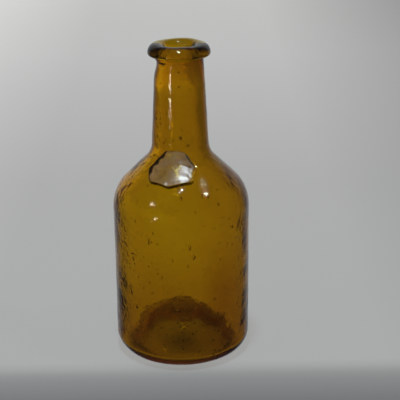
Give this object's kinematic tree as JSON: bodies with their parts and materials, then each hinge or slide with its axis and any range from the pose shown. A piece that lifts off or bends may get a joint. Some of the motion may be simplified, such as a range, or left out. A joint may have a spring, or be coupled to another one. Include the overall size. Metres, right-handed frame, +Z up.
{
  "type": "glass bottle",
  "caption": "Squat cylindrical amber glass bottle with a sloping shoulder, long neck, applied rounded lip, kicked-up base and a blank glass pad on the shoulder.",
  "frame": {"origin": "centre of the resting plane, on the bottle's axis", "axes": "+Z up along the bottle's axis out of the mouth; the shoulder seal faces -Y; +X is to the seal's right"},
  "size_m": [0.08, 0.08, 0.1866],
  "materials": {
    "amber_glass": "old olive-amber glass, polished by fire, gently wavy, with seeds",
    "lip_glass": "the same glass, thicker and so darker, with tooling creases",
    "seal_glass": "the same glass, worn dull on its pressed face",
    "scar_glass": "the same glass, chipped rough"
  },
  "bodies": {
    "root": {"glass_body": "amber_glass", "lip_ring": "lip_glass", "shoulder_seal": "seal_glass", "pontil_scar": "scar_glass"}
  },
  "joints": []
}
